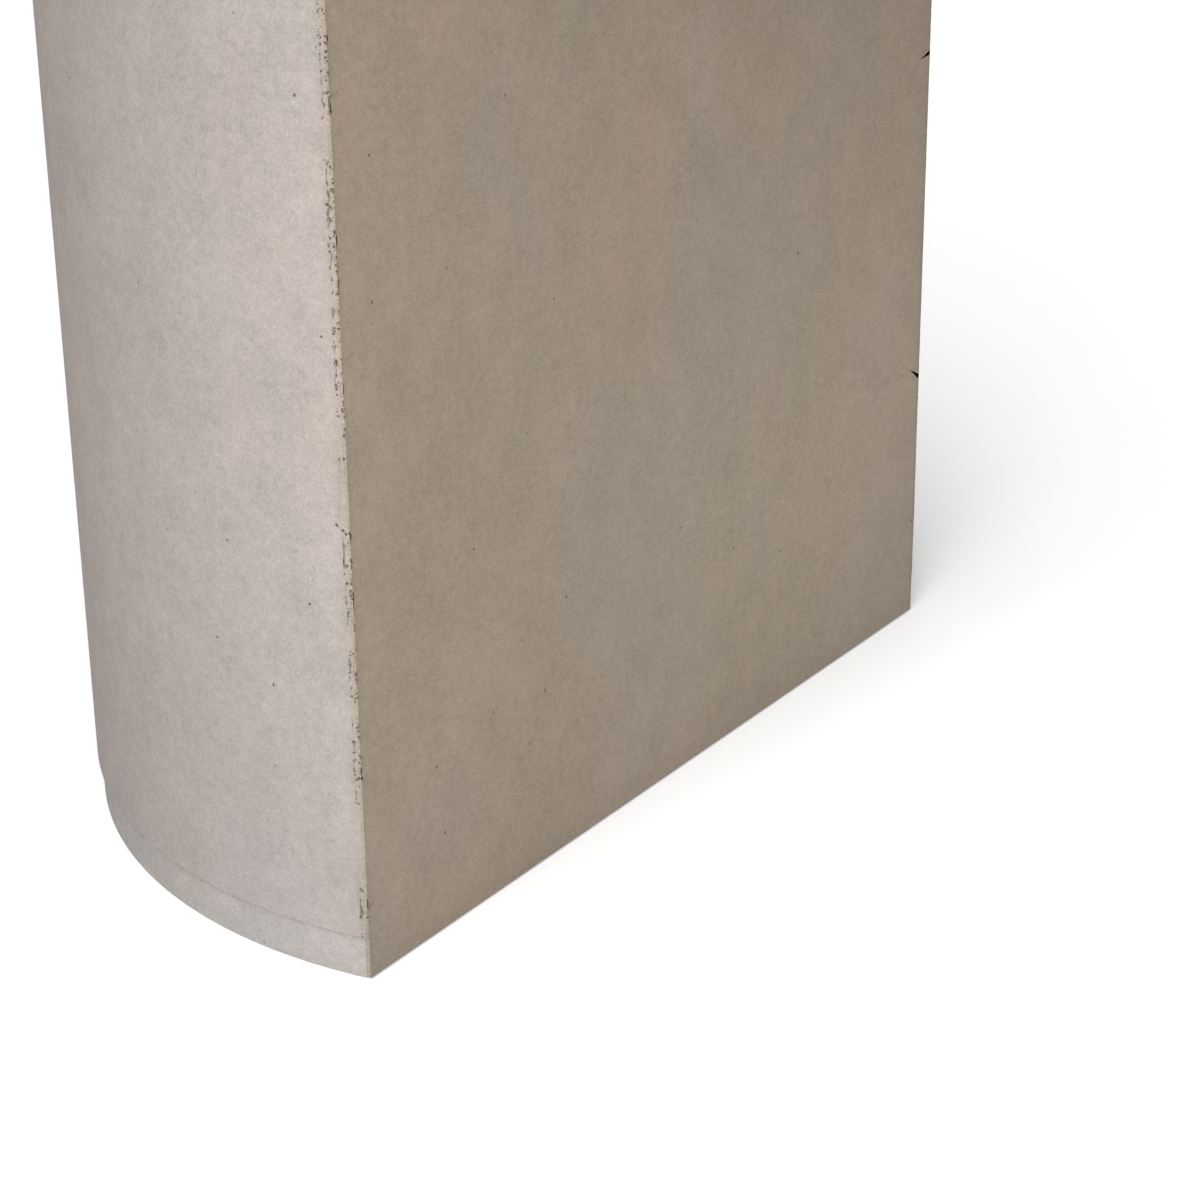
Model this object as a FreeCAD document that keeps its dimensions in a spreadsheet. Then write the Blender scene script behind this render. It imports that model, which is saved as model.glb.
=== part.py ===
import FreeCAD, Part

import math
import os
import re

import Sketcher

# Hollow cast-concrete table pedestal, D-shaped in plan: a flat face in front and a round that sweeps
# just past a half circle behind it, with a shallow recessed toe round the curved side only.
# Thin fibre-reinforced castings hang on a welded steel frame that carries the load to four
# levelling feet. Origin: on the floor, in the middle of the footprint. The flat face looks to -Y.

doc = FreeCAD.newDocument("ConcretePedestal")

# ---------------------------------------------------------------- driving dimensions, millimetres

DRIVING = [
    ("face_width", 600, "flat face, arris to arris"),
    ("round_radius", 308, "outside radius of the curved side"),
    ("overall_height", 710, "floor to the top of the deck"),
    ("casting_wall", 18, "thickness of the cast skins"),
    ("deck_thickness", 20, "cast deck that closes the top"),
    ("deck_joint", 1.0, "open joint between the deck and the skins"),
    ("floor_gap", 1.0, "castings stop this far above the floor"),
    ("toe_height", 28, "floor to the top of the recessed toe"),
    ("toe_recess", 2.8, "how far the toe sits back from the round"),
    ("arris_leg", 2.3, "ground arris, set back along each face"),
    ("bond_leg", 26, "leg of the bonding fillet inside each corner"),
    ("frame_gap", 20, "flat skin to the steel frame"),
    ("plate_gap", 5, "corners of the rear foot plates to the curved skin"),
    ("frame_width", 375, "steel frame, outside, left to right"),
    ("tube_side", 25, "square tube, outside"),
    ("tube_wall", 2, "square tube, wall"),
    ("anchor_radius", 4, "tie rods between the frame and the skins"),
    ("pad_reach", 34, "half the width of a bonding pad"),
    ("pad_thickness", 12, "bonding pads over the ends of the tie rods"),
    ("side_anchor_angle", 18, "direction of the side tie rods, degrees behind the X axis"),
    ("socket_radius", 10, "threaded sockets in the deck, outside"),
    ("socket_bore", 4, "M8 thread, nominal radius"),
    ("socket_floor", 2, "metal left below the blind thread"),
    ("socket_spacing", 120, "front to back distance between sockets"),
    ("foot_plate_side", 46, "square plate welded under each post"),
    ("foot_plate_thickness", 8, "the same plate, thickness"),
    ("stem_radius", 5, "M10 levelling stem, nominal radius"),
    ("stem_length", 62, "levelling stem, end to end"),
    ("thread_clearance", 0.05, "round the stem in the nut, the plate and the pad"),
    ("thrust_gap", 0.1, "free height between the stem and its pad"),
    ("nut_flats", 17, "jam nut, across flats"),
    ("nut_height", 6, "jam nut"),
    ("collar_flats", 14, "spanner collar on the stem, across flats"),
    ("collar_height", 7, "spanner collar on the stem"),
    ("collar_gap", 1.0, "between the collar and the jam nut when wound in"),
    ("pad_radius", 24, "foot pad, at the floor"),
    ("pad_neck_radius", 13, "foot pad, at its top"),
    ("pad_rim", 5, "straight rim of the foot pad"),
    ("foot_height", 12, "foot pad, overall"),
    ("pad_sole", 4, "solid sole below the stem"),
]

sheet = doc.addObject("Spreadsheet::Sheet", "Sizes")
for row, (alias, number, note) in enumerate(DRIVING, start=1):
    sheet.set(f"A{row}", alias)
    sheet.set(f"B{row}", str(number))
    sheet.set(f"C{row}", note)
    sheet.setAlias(f"B{row}", alias)
doc.recompute()

# -------------------------------------------- places worked out from the driving dimensions

WORKED = [
    ("half_face", "face_width / 2"),
    # the flat face is a chord, so the round's centre lies a little behind it
    ("centre_back", "sqrt(round_radius^2 - half_face^2)"),
    ("face_y", "-(centre_back + round_radius) / 2"),
    ("centre_y", "face_y + centre_back"),
    # inside corner where the two skins meet
    ("inner_radius", "round_radius - casting_wall"),
    ("inner_y", "face_y + casting_wall"),
    ("inner_x", "sqrt(inner_radius^2 - (centre_back - casting_wall)^2)"),
    # the ground arris: its edge on the flat, its edge on the round, and the mitre between them
    ("arris_turn", "arris_leg / round_radius * 180 / pi"),
    ("flat_edge_x", "half_face - arris_leg"),
    ("round_edge_x", "half_face * cos(arris_turn) + centre_back * sin(arris_turn)"),
    (
        "round_edge_y",
        "centre_y - centre_back * cos(arris_turn) + half_face * sin(arris_turn)",
    ),
    ("mitre_x", "(flat_edge_x + round_edge_x) / 2"),
    ("mitre_y", "(face_y + round_edge_y) / 2"),
    ("toe_radius", "round_radius - toe_recess"),
    ("clear_radius", "round_radius + casting_wall"),
    ("axis_x", "0"),
    # the deck drops in between the skins with an open joint all round
    ("deck_bottom", "overall_height - deck_thickness"),
    ("deck_radius", "inner_radius - deck_joint"),
    ("deck_y", "inner_y + deck_joint"),
    ("deck_x", "sqrt(deck_radius^2 - (deck_y - centre_y)^2)"),
    # bonding fillet along each inside corner
    ("bond_turn", "bond_leg / inner_radius * 180 / pi"),
    ("bond_flat_x", "inner_x - bond_leg"),
    ("bond_round_x", "inner_x * cos(bond_turn) - (inner_y - centre_y) * sin(bond_turn)"),
    (
        "bond_round_y",
        "centre_y + (inner_y - centre_y) * cos(bond_turn) + inner_x * sin(bond_turn)",
    ),
    # levelling feet, from the floor up
    ("stem_bottom", "pad_sole + thrust_gap"),
    ("collar_bottom", "foot_height + thrust_gap"),
    ("nut_bottom", "collar_bottom + collar_height + collar_gap"),
    ("plate_bottom", "nut_bottom + nut_height"),
    ("frame_bottom", "plate_bottom + foot_plate_thickness"),
    ("thread_radius", "stem_radius + thread_clearance"),
    # centre lines of the steel frame
    ("post_x", "(frame_width - tube_side) / 2"),
    ("front_y", "inner_y + frame_gap + tube_side / 2"),
    # the rear posts go as far back as the corners of their foot plates allow
    ("plate_reach", "foot_plate_side / 2"),
    (
        "back_y",
        "centre_y + sqrt((inner_radius - plate_gap)^2 - (post_x + plate_reach)^2) - plate_reach",
    ),
    ("frame_depth", "back_y - front_y + tube_side"),
    ("middle_y", "(front_y + back_y) / 2"),
    ("post_length", "deck_bottom - frame_bottom"),
    ("low_z", "frame_bottom + tube_side / 2"),
    ("high_z", "deck_bottom - tube_side / 2"),
    ("mid_z", "(low_z + high_z) / 2"),
    ("cross_run", "frame_width - 2 * tube_side"),
    ("side_run", "frame_depth - 2 * tube_side"),
    ("socket_front_y", "middle_y - socket_spacing / 2"),
    ("socket_back_y", "middle_y + socket_spacing / 2"),
    # tie rods to the round point straight out from its centre
    ("side_start", "post_x / cos(side_anchor_angle)"),
    ("post_start", "sqrt(post_x^2 + (back_y - centre_y)^2)"),
    ("back_start", "back_y - centre_y"),
    ("pad_turn", "pad_reach / inner_radius * 180 / pi"),
    ("side_angle", "side_anchor_angle"),
    ("far_side_angle", "180 - side_angle"),
    ("post_angle", "atan((back_y - centre_y) / post_x) / 1 deg"),
    ("far_post_angle", "180 - post_angle"),
    ("back_angle", "90"),
]

HOMES = {alias: "Sizes" for alias, _, _ in DRIVING}
HOMES.update({name: "Worked" for name, _ in WORKED})


def spelled(formula):
    """The formula in full, with each size's name preceded by that of its home, Sizes or Worked."""
    found = re.compile(r"[a-z]\w*")
    return found.sub(lambda m: f"{HOMES[m[0]]}.{m[0]}" if m[0] in HOMES else m[0], formula)


worked = doc.addObject("App::VarSet", "Worked")
for name, formula in WORKED:
    worked.addProperty("App::PropertyFloat", name, "Places")
    worked.setExpression(name, spelled(formula))
    doc.recompute()


def value(name):
    """The present value of a size or a place, by name, with a leading minus for its mirror image."""
    sign = -1 if name.startswith("-") else 1
    name = name.lstrip("-")
    home = sheet if HOMES[name] == "Sizes" else worked
    return sign * float(getattr(home, name))


def bind(thing, **formulas):
    """Binds properties of an object to formulas of sizes. at_x, at_y and at_z place it."""
    for prop, formula in formulas.items():
        path = f".Placement.Base.{prop[-1]}" if prop.startswith("at_") else prop
        thing.setExpression(path, spelled(formula))


# ------------------------------------------------------------------------------- general helpers

nodes = []


def keep(thing, label):
    """Names a finished piece and puts it on the list of files to write."""
    thing.Label = label
    nodes.append(thing)
    return thing


def raw(kind, **formulas):
    """A plain solid, such as a box or a cylinder, whose sizes and place are bound to formulas."""
    thing = doc.addObject(f"Part::{kind}", "Raw")
    bind(thing, **formulas)
    return thing


def cut(base, tool, label=None):
    thing = doc.addObject("Part::Cut", "Trimmed")
    thing.Base = base
    thing.Tool = tool
    return keep(thing, label) if label else thing


def overlap(base, tool, label=None):
    thing = doc.addObject("Part::Common", "Shared")
    thing.Base = base
    thing.Tool = tool
    return keep(thing, label) if label else thing


def group(pieces, label=None):
    thing = doc.addObject("Part::MultiFuse", "Group")
    thing.Shapes = pieces
    return keep(thing, label) if label else thing


def hexagon(flats, tall, **place):
    """A six-sided prism, sized across its flats."""
    thing = doc.addObject("Part::Prism", "Raw")
    thing.Polygon = 6
    bind(thing, Circumradius=f"{flats} / sqrt(3)", Height=tall, **place)
    return thing


# ------------------------------------------------------------------- castings, from plan outlines


def new_sketch(body, name, level):
    """A sketch on the body's own XY plane, raised to a level."""
    sketch = body.newObject("Sketcher::SketchObject", name)
    plane = next(f for f in body.Origin.OriginFeatures if f.Role == "XY_Plane")
    sketch.AttachmentSupport = [(plane, "")]
    sketch.MapMode = "FlatFace"
    sketch.setExpression(".AttachmentOffset.Base.z", spelled(level))
    return sketch


def constrain(sketch, formula, *constraint):
    """Adds a dimension whose value follows a formula."""
    index = sketch.addConstraint(Sketcher.Constraint(*constraint))
    sketch.setExpression(f"Constraints[{index}]", spelled(formula))


def pin_point(sketch, edge, end, x, y):
    """Fixes one end of an edge at a named place."""
    constrain(sketch, x, "DistanceX", -1, 1, edge, end, value(x))
    constrain(sketch, y, "DistanceY", -1, 1, edge, end, value(y))


def draw_outline(sketch, corners):
    """Draws a closed outline, anticlockwise. Each corner is (x, y, edge to the next corner), and an
    edge is None for a line, or (radius, turn) for an arc about the round's centre, where turn is
    +1 anticlockwise or -1 clockwise."""
    centre = FreeCAD.Vector(0, value("centre_y"), 0)
    places = [FreeCAD.Vector(value(x), value(y), 0) for x, y, _ in corners]
    ends = []
    for index, (_, _, edge) in enumerate(corners):
        here, there = places[index], places[(index + 1) % len(places)]
        if edge is None:
            sketch.addGeometry(Part.LineSegment(here, there))
            ends.append((1, 2))
            continue
        radius, turn = edge
        first, last = (here, there) if turn > 0 else (there, here)
        begin = math.atan2(first.y - centre.y, first.x)
        finish = math.atan2(last.y - centre.y, last.x)
        finish += 2 * math.pi if finish < begin else 0
        circle = Part.Circle(centre, FreeCAD.Vector(0, 0, 1), value(radius))
        arc = sketch.addGeometry(Part.ArcOfCircle(circle, begin, finish))
        constrain(sketch, radius, "Radius", arc, value(radius))
        ends.append((1, 2) if turn > 0 else (2, 1))
    for index, (x, y, _) in enumerate(corners):
        before = (index - 1) % len(corners)
        sketch.addConstraint(
            Sketcher.Constraint("Coincident", before, ends[before][1], index, ends[index][0])
        )
        pin_point(sketch, index, ends[index][0], x, y)


def draw_circles(sketch, radius, places):
    """Draws circles of one radius at named places."""
    for x, y in places:
        centre = FreeCAD.Vector(value(x), value(y), 0)
        circle = Part.Circle(centre, FreeCAD.Vector(0, 0, 1), value(radius))
        index = sketch.addGeometry(circle)
        constrain(sketch, radius, "Radius", index, value(radius))
        constrain(sketch, x, "DistanceX", -1, 1, index, 3, value(x))
        constrain(sketch, y, "DistanceY", -1, 1, index, 3, value(y))


def cast(label, corners, bottom, top):
    """A casting with a constant plan outline between two levels."""
    body = doc.addObject("PartDesign::Body", label)
    sketch = new_sketch(body, "Plan", bottom)
    draw_outline(sketch, corners)
    pad = body.newObject("PartDesign::Pad", "Casting")
    pad.Profile = sketch
    bind(pad, Length=f"{top} - ({bottom})")
    doc.recompute()
    return keep(body, label)


def carve(body, sketch, depth, upwards):
    """Pockets a sketch out of a casting, and makes sure that it really cuts."""
    before = body.Shape.Volume
    pocket = body.newObject("PartDesign::Pocket", "Recess")
    pocket.Profile = sketch
    pocket.Reversed = upwards
    bind(pocket, Length=depth)
    doc.recompute()
    if not body.Shape.Volume < before - 1:
        raise RuntimeError(f"{body.Label}: the recess cuts nothing")


def trim_to_toe(body):
    """Takes away what stands outside the recessed toe, up to the toe's top line."""
    sketch = new_sketch(body, "ToeRing", "0")
    draw_circles(sketch, "toe_radius", [("axis_x", "centre_y")])
    draw_circles(sketch, "clear_radius", [("axis_x", "centre_y")])
    carve(body, sketch, "toe_height", upwards=True)


# the round and the toe share one outline, mitred to the flat panel at both arrises
ROUND_PLAN = [
    ("mitre_x", "mitre_y", None),
    ("round_edge_x", "round_edge_y", ("round_radius", 1)),
    ("-round_edge_x", "round_edge_y", None),
    ("-mitre_x", "mitre_y", None),
    ("-inner_x", "inner_y", ("inner_radius", -1)),
    ("inner_x", "inner_y", None),
]
FLAT_PLAN = [
    ("-flat_edge_x", "face_y", None),
    ("flat_edge_x", "face_y", None),
    ("mitre_x", "mitre_y", None),
    ("inner_x", "inner_y", None),
    ("-inner_x", "inner_y", None),
    ("-mitre_x", "mitre_y", None),
]
DECK_PLAN = [
    ("deck_x", "deck_y", ("deck_radius", 1)),
    ("-deck_x", "deck_y", None),
]
SOCKET_PLACES = [
    ("post_x", "socket_front_y"),
    ("-post_x", "socket_front_y"),
    ("post_x", "socket_back_y"),
    ("-post_x", "socket_back_y"),
]
RIGHT_BOND_PLAN = [
    ("inner_x", "inner_y", ("inner_radius", 1)),
    ("bond_round_x", "bond_round_y", None),
    ("bond_flat_x", "inner_y", None),
]
LEFT_BOND_PLAN = [
    ("-inner_x", "inner_y", None),
    ("-bond_flat_x", "inner_y", None),
    ("-bond_round_x", "bond_round_y", ("inner_radius", 1)),
]

cast("curved_shell", ROUND_PLAN, "toe_height", "overall_height")
toe_band = cast("toe_band", ROUND_PLAN, "floor_gap", "toe_height")
trim_to_toe(toe_band)
face_panel = cast("face_panel", FLAT_PLAN, "floor_gap", "overall_height")
trim_to_toe(face_panel)
top_deck = cast("top_deck", DECK_PLAN, "deck_bottom", "overall_height")
socket_holes = new_sketch(top_deck, "SocketHoles", "overall_height")
draw_circles(socket_holes, "socket_radius", SOCKET_PLACES)
carve(top_deck, socket_holes, "deck_thickness", upwards=False)
cast("corner_bond_right", RIGHT_BOND_PLAN, "toe_height", "deck_bottom")
cast("corner_bond_left", LEFT_BOND_PLAN, "toe_height", "deck_bottom")

# ---------------------------------------------------------------------------- welded steel frame

SIDES = {"left": "-", "right": ""}
ROWS = {"front": "front_y", "back": "back_y"}


def square_tube(label, run, axis, x, y, z):
    """A square tube centred on a place. axis is the direction it runs in: Length, Width or Height."""
    outer, inner = {}, {}
    for name, prop in (("x", "Length"), ("y", "Width"), ("z", "Height")):
        along = prop == axis
        outer[prop] = run if along else "tube_side"
        inner[prop] = run if along else "tube_side - 2 * tube_wall"
        outer[f"at_{name}"] = f"-({outer[prop]}) / 2"
        inner[f"at_{name}"] = f"-({inner[prop]}) / 2"
    tube = cut(raw("Box", **outer), raw("Box", **inner), label)
    bind(tube, at_x=x, at_y=y, at_z=z)
    return tube


for row, row_y in ROWS.items():
    for side, sign in SIDES.items():
        square_tube(
            f"post_{row}_{side}",
            "post_length",
            "Height",
            f"{sign}post_x",
            row_y,
            "frame_bottom + post_length / 2",
        )

for level, level_z in {"base": "low_z", "top": "high_z"}.items():
    for row, row_y in ROWS.items():
        square_tube(f"{level}_rail_{row}", "cross_run", "Length", "0", row_y, level_z)
    for side, sign in SIDES.items():
        square_tube(
            f"{level}_rail_{side}", "side_run", "Width", f"{sign}post_x", "middle_y", level_z
        )

# ------------------------------------------- tie rods, and the bonding pads over their far ends


def turned_rod(angle, start, z):
    """A rod that points straight out from the round's centre and runs past the curved skin."""
    rod = raw(
        "Cylinder",
        Radius="anchor_radius",
        Height=f"inner_radius + casting_wall / 2 - {start}",
        at_x=f"cos({angle}) * {start}",
        at_y=f"centre_y + sin({angle}) * {start}",
        at_z=z,
    )
    # a quarter turn about the level line square to the rod lays it down
    rod.setExpression(".Placement.Rotation.Axis.x", spelled(f"-sin({angle})"))
    rod.setExpression(".Placement.Rotation.Axis.y", spelled(f"cos({angle})"))
    rod.setExpression(".Placement.Rotation.Axis.z", "0")
    rod.setExpression(".Placement.Rotation.Angle", "90")
    return rod


def curved_pad(angle, z):
    """A pad against the curved skin: a short stretch of a ring, centred on a direction."""
    ring = {"Height": "tube_side", "at_y": "centre_y", "at_z": f"{z} - tube_side / 2"}
    outer = raw("Cylinder", Radius="inner_radius", **ring)
    inner = raw("Cylinder", Radius="inner_radius - pad_thickness", **ring)
    outer.setExpression("Angle", spelled("2 * pad_turn"))
    outer.setExpression(".Placement.Rotation.Angle", spelled(f"{angle} - pad_turn"))
    return cut(outer, inner)


BOTH_RAILS = ("low_z", "high_z")
ALL_LEVELS = ("low_z", "mid_z", "high_z")
DIRECTIONS = [
    ("side_angle", "side_start", BOTH_RAILS),
    ("far_side_angle", "side_start", BOTH_RAILS),
    ("post_angle", "post_start", ALL_LEVELS),
    ("far_post_angle", "post_start", ALL_LEVELS),
    ("back_angle", "back_start", BOTH_RAILS),
]
rods, pads = [], []
for angle, start, levels in DIRECTIONS:
    for z in levels:
        rods.append(turned_rod(angle, start, z))
        pads.append(curved_pad(angle, z))

# the rods start on the outside of the frame and end on the inside of the curved skin
frame_block = raw(
    "Box",
    Length="frame_width",
    Width="frame_depth",
    Height="overall_height",
    at_x="-frame_width / 2",
    at_y="front_y - tube_side / 2",
)
round_inside = raw("Cylinder", Radius="inner_radius", Height="overall_height", at_y="centre_y")
round_anchors = overlap(cut(group(rods), frame_block), round_inside, "round_anchors")
cut(group(pads), round_anchors, "round_bond_pads")

rods, pads = [], []
for x, levels in (("post_x", ALL_LEVELS), ("-post_x", ALL_LEVELS), ("axis_x", BOTH_RAILS)):
    for z in levels:
        rod = raw("Cylinder", Radius="anchor_radius", Height="frame_gap", at_x=x, at_z=z)
        rod.Placement.Rotation = FreeCAD.Rotation(FreeCAD.Vector(1, 0, 0), -90)
        bind(rod, at_y="inner_y")
        rods.append(rod)
        pad = raw("Box", Length="2 * pad_reach", Width="pad_thickness", Height="tube_side")
        bind(pad, at_x=f"{x} - pad_reach", at_y="inner_y", at_z=f"{z} - tube_side / 2")
        pads.append(pad)
face_anchors = group(rods, "face_anchors")
cut(group(pads), face_anchors, "face_bond_pads")

# ---------------------------------------------------- threaded sockets in the deck, for a table top

sockets = []
for x, y in SOCKET_PLACES:
    sleeve = raw("Cylinder", Radius="socket_radius", Height="deck_thickness")
    bind(sleeve, at_x=x, at_y=y, at_z="deck_bottom")
    thread = raw("Cylinder", Radius="socket_bore", Height="deck_thickness")
    bind(thread, at_x=x, at_y=y, at_z="deck_bottom + socket_floor")
    sockets.append(cut(sleeve, thread))
group(sockets, "top_sockets")

# ------------------------------------------------------------------------------- levelling feet


def stem_hole(x, y, bottom):
    """A clearance bore for a levelling stem, from a level upwards."""
    return raw(
        "Cylinder", Radius="thread_radius", Height="stem_length", at_x=x, at_y=y, at_z=bottom
    )


for row, y in ROWS.items():
    for side, sign in SIDES.items():
        corner, x = f"{row}_{side}", f"{sign}post_x"
        plate = raw(
            "Box",
            Length="foot_plate_side",
            Width="foot_plate_side",
            Height="foot_plate_thickness",
            at_x=f"{x} - plate_reach",
            at_y=f"{y} - plate_reach",
            at_z="plate_bottom",
        )
        cut(plate, stem_hole(x, y, "nut_bottom"), f"foot_plate_{corner}")
        nut = hexagon("nut_flats", "nut_height", at_x=x, at_y=y, at_z="nut_bottom")
        cut(nut, stem_hole(x, y, "nut_bottom"), f"jam_nut_{corner}")
        shank = raw("Cylinder", Radius="stem_radius", Height="stem_length")
        bind(shank, at_x=x, at_y=y, at_z="stem_bottom")
        collar = hexagon("collar_flats", "collar_height", at_x=x, at_y=y, at_z="collar_bottom")
        group([shank, collar], f"foot_stem_{corner}")
        rim = raw("Cylinder", Radius="pad_radius", Height="pad_rim", at_x=x, at_y=y)
        crown = raw("Cone", Radius1="pad_radius", Radius2="pad_neck_radius")
        bind(crown, Height="foot_height - pad_rim", at_x=x, at_y=y, at_z="pad_rim")
        cut(group([rim, crown]), stem_hole(x, y, "pad_sole"), f"foot_pad_{corner}")

# ------------------------------------------------------------------------ check, then write files

doc.recompute()
failed = [thing.Label for thing in doc.Objects if {"Invalid", "Error"} & set(thing.State)]
if failed:
    raise RuntimeError(f"failed to build: {', '.join(failed)}")

os.makedirs("parts", exist_ok=True)
for node in nodes:
    if node.Shape.isNull() or not node.Shape.isValid():
        raise RuntimeError(f"{node.Label}: no valid shape")
    node.Shape.exportStep(f"parts/{node.Label}.step")
    solids = len(node.Shape.Solids)
    print(f"{node.Label}: {solids} solid(s), {node.Shape.Volume / 1000:.1f} cm3")
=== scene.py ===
# %% [markdown]
# # A hollow concrete table pedestal
# The real object is a D-shaped column of thin cast concrete: a flat face in front, and one skin that bends
# round the back. A steel frame inside it carries the table top down to four levelling feet.
# The frame of sizes comes from the CAD model, so every piece here is worked out from it.

# %% Load the frame
import math

import bmesh
import bpy
from mathutils import Matrix, Vector


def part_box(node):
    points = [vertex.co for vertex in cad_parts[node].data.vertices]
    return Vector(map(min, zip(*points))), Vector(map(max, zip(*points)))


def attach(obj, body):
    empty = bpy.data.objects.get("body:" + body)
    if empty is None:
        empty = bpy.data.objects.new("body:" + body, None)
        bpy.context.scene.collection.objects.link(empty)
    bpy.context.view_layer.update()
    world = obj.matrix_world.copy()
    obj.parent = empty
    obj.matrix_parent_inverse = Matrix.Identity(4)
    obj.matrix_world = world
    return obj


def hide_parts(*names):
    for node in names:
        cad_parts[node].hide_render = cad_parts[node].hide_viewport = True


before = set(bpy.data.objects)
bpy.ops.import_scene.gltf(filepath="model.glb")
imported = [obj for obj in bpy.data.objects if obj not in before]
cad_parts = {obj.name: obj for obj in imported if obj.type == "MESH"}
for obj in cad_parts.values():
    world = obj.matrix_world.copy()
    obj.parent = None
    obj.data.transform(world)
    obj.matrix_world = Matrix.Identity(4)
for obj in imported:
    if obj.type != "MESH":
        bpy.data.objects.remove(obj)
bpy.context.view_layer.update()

MM = 0.001

# %% [markdown]
# ## Measure the castings
# A drawing of the plan needs only a few numbers: the radius and centre of the round, the line of the flat
# face, the thickness of the skins and the small ground arris where they meet. All of them can be read off
# the boxes of the CAD pieces, so a new size in the CAD moves everything here with it.

# %% Sizes of the castings
shell_low, shell_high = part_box("curved_shell")
panel_low, panel_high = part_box("face_panel")
toe_low, toe_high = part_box("toe_band")
deck_low, deck_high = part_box("top_deck")
socket_low, socket_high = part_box("top_sockets")

ROUND_RADIUS = min(shell_high.x, -shell_low.x)
CENTRE_Y = shell_high.y - ROUND_RADIUS
FACE_Y = panel_low.y
SKIN = panel_high.y - panel_low.y
TOP = shell_high.z
TOE_RADIUS = min(toe_high.x, -toe_low.x)
TOE_TOP = toe_high.z
TOE_FOOT = toe_low.z
DECK_RADIUS = min(deck_high.x, -deck_low.x)
SOCKET_RADIUS = 10 * MM
ARRIS_LEG = 2.3 * MM
print(f"round {ROUND_RADIUS:.4f} m about y {CENTRE_Y:.4f} m, skins {SKIN:.4f} m thick")

# %% [markdown]
# ## Draw the plan
# The corner is not left sharp. It is ground to a narrow flat, and the joint between the two castings runs
# down the middle of that flat, so it can't be seen from either side. The points below are one end of the
# plan; the other end is its mirror image.

# %% Points of the plan
half_face = math.sqrt(ROUND_RADIUS**2 - (FACE_Y - CENTRE_Y) ** 2)
corner_turn = math.atan2(FACE_Y - CENTRE_Y, half_face)
edge_turn = corner_turn + ARRIS_LEG / ROUND_RADIUS
inner_radius = ROUND_RADIUS - SKIN
inner_y = FACE_Y + SKIN
inner_x = math.sqrt(inner_radius**2 - (inner_y - CENTRE_Y) ** 2)
inner_turn = math.atan2(inner_y - CENTRE_Y, inner_x)

flat_edge = Vector((half_face - ARRIS_LEG, FACE_Y))
round_edge = Vector(
    (ROUND_RADIUS * math.cos(edge_turn), CENTRE_Y + ROUND_RADIUS * math.sin(edge_turn))
)
seam = (flat_edge + round_edge) / 2
inner_corner = Vector((inner_x, inner_y))


def on_circle(start, stop, radius):
    """The point between start and stop that lies on a circle round the casting's centre."""
    centre = Vector((0, CENTRE_Y))
    low, high = 0.0, 1.0
    for _ in range(40):
        middle = (low + high) / 2
        if (start.lerp(stop, middle) - centre).length > radius:
            low = middle
        else:
            high = middle
    return start.lerp(stop, low)


toe_seam = on_circle(seam, inner_corner, TOE_RADIUS)
toe_flat = Vector((math.sqrt(TOE_RADIUS**2 - (FACE_Y - CENTRE_Y) ** 2), FACE_Y))


def mirrored(point):
    """The same point on the left."""
    return Vector((-point.x, point.y))


def arc(radius, start, stop, steps):
    """Points round the casting's centre, from one direction to another."""
    turns = [start + (stop - start) * step / steps for step in range(steps + 1)]
    return [
        Vector((radius * math.cos(turn), CENTRE_Y + radius * math.sin(turn))) for turn in turns
    ]


ground = (flat_edge - round_edge).length
print(f"flat face {2 * half_face:.4f} m wide, ground arris {ground * 1000:.2f} mm wide")

# %% [markdown]
# ## Sweep a plan up to a solid
# Each casting is its plan swept upwards. A mould leaves its top and bottom rims slightly round, so the last
# rings of points step inwards along a quarter circle. How far a point steps in follows from its two sides:
# a free side moves in by the whole amount, and a side that meets the next casting doesn't move at all. That
# keeps the joint between two castings closed over its whole height.

# %% Sweep helpers
RIM_STEPS = 4
LIFT = 12 * MM


def inward(loop, free):
    """How far each point of a plan moves when its free sides step in by one."""
    moves = []
    for index, point in enumerate(loop):
        before = (point - loop[index - 1]).normalized()
        after = (loop[(index + 1) % len(loop)] - point).normalized()
        first = Vector((-before.y, before.x))
        second = Vector((-after.y, after.x))
        share_first, share_second = free[index - 1], free[index]
        turn = first.x * second.y - first.y * second.x
        if abs(turn) < 1e-4:
            moves.append(first * share_first)
        else:
            across = share_first * second.y - share_second * first.y
            along = first.x * share_second - second.x * share_first
            moves.append(Vector((across, along)) / turn)
    return moves


def rim_rows(height, radius, upwards):
    """Heights and insets of the rings that round a rim off, from low to high."""
    rows = []
    for step in range(RIM_STEPS + 1):
        turn = math.pi / 2 * step / RIM_STEPS
        inset = radius * (1 - math.sin(turn))
        rise = radius * (1 - math.cos(turn))
        rows.append((height - rise if upwards else height + rise, inset))
    return rows[::-1] if upwards else rows


def wall_rows(low, high):
    """Plain rings up a wall, because a long thin face with many pores in it can't be filled well."""
    count = round((high - low) / LIFT)
    return [(low + (high - low) * step / count, 0) for step in range(1, count)]


def rings_of(loop, free, rows):
    """The rings of points of one plan, at the heights and insets in rows."""
    moves = inward(loop, free)
    return [
        [(point + move * inset).to_3d() + Vector((0, 0, height)) for point, move in zip(loop, moves)]
        for height, inset in rows
    ]


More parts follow.
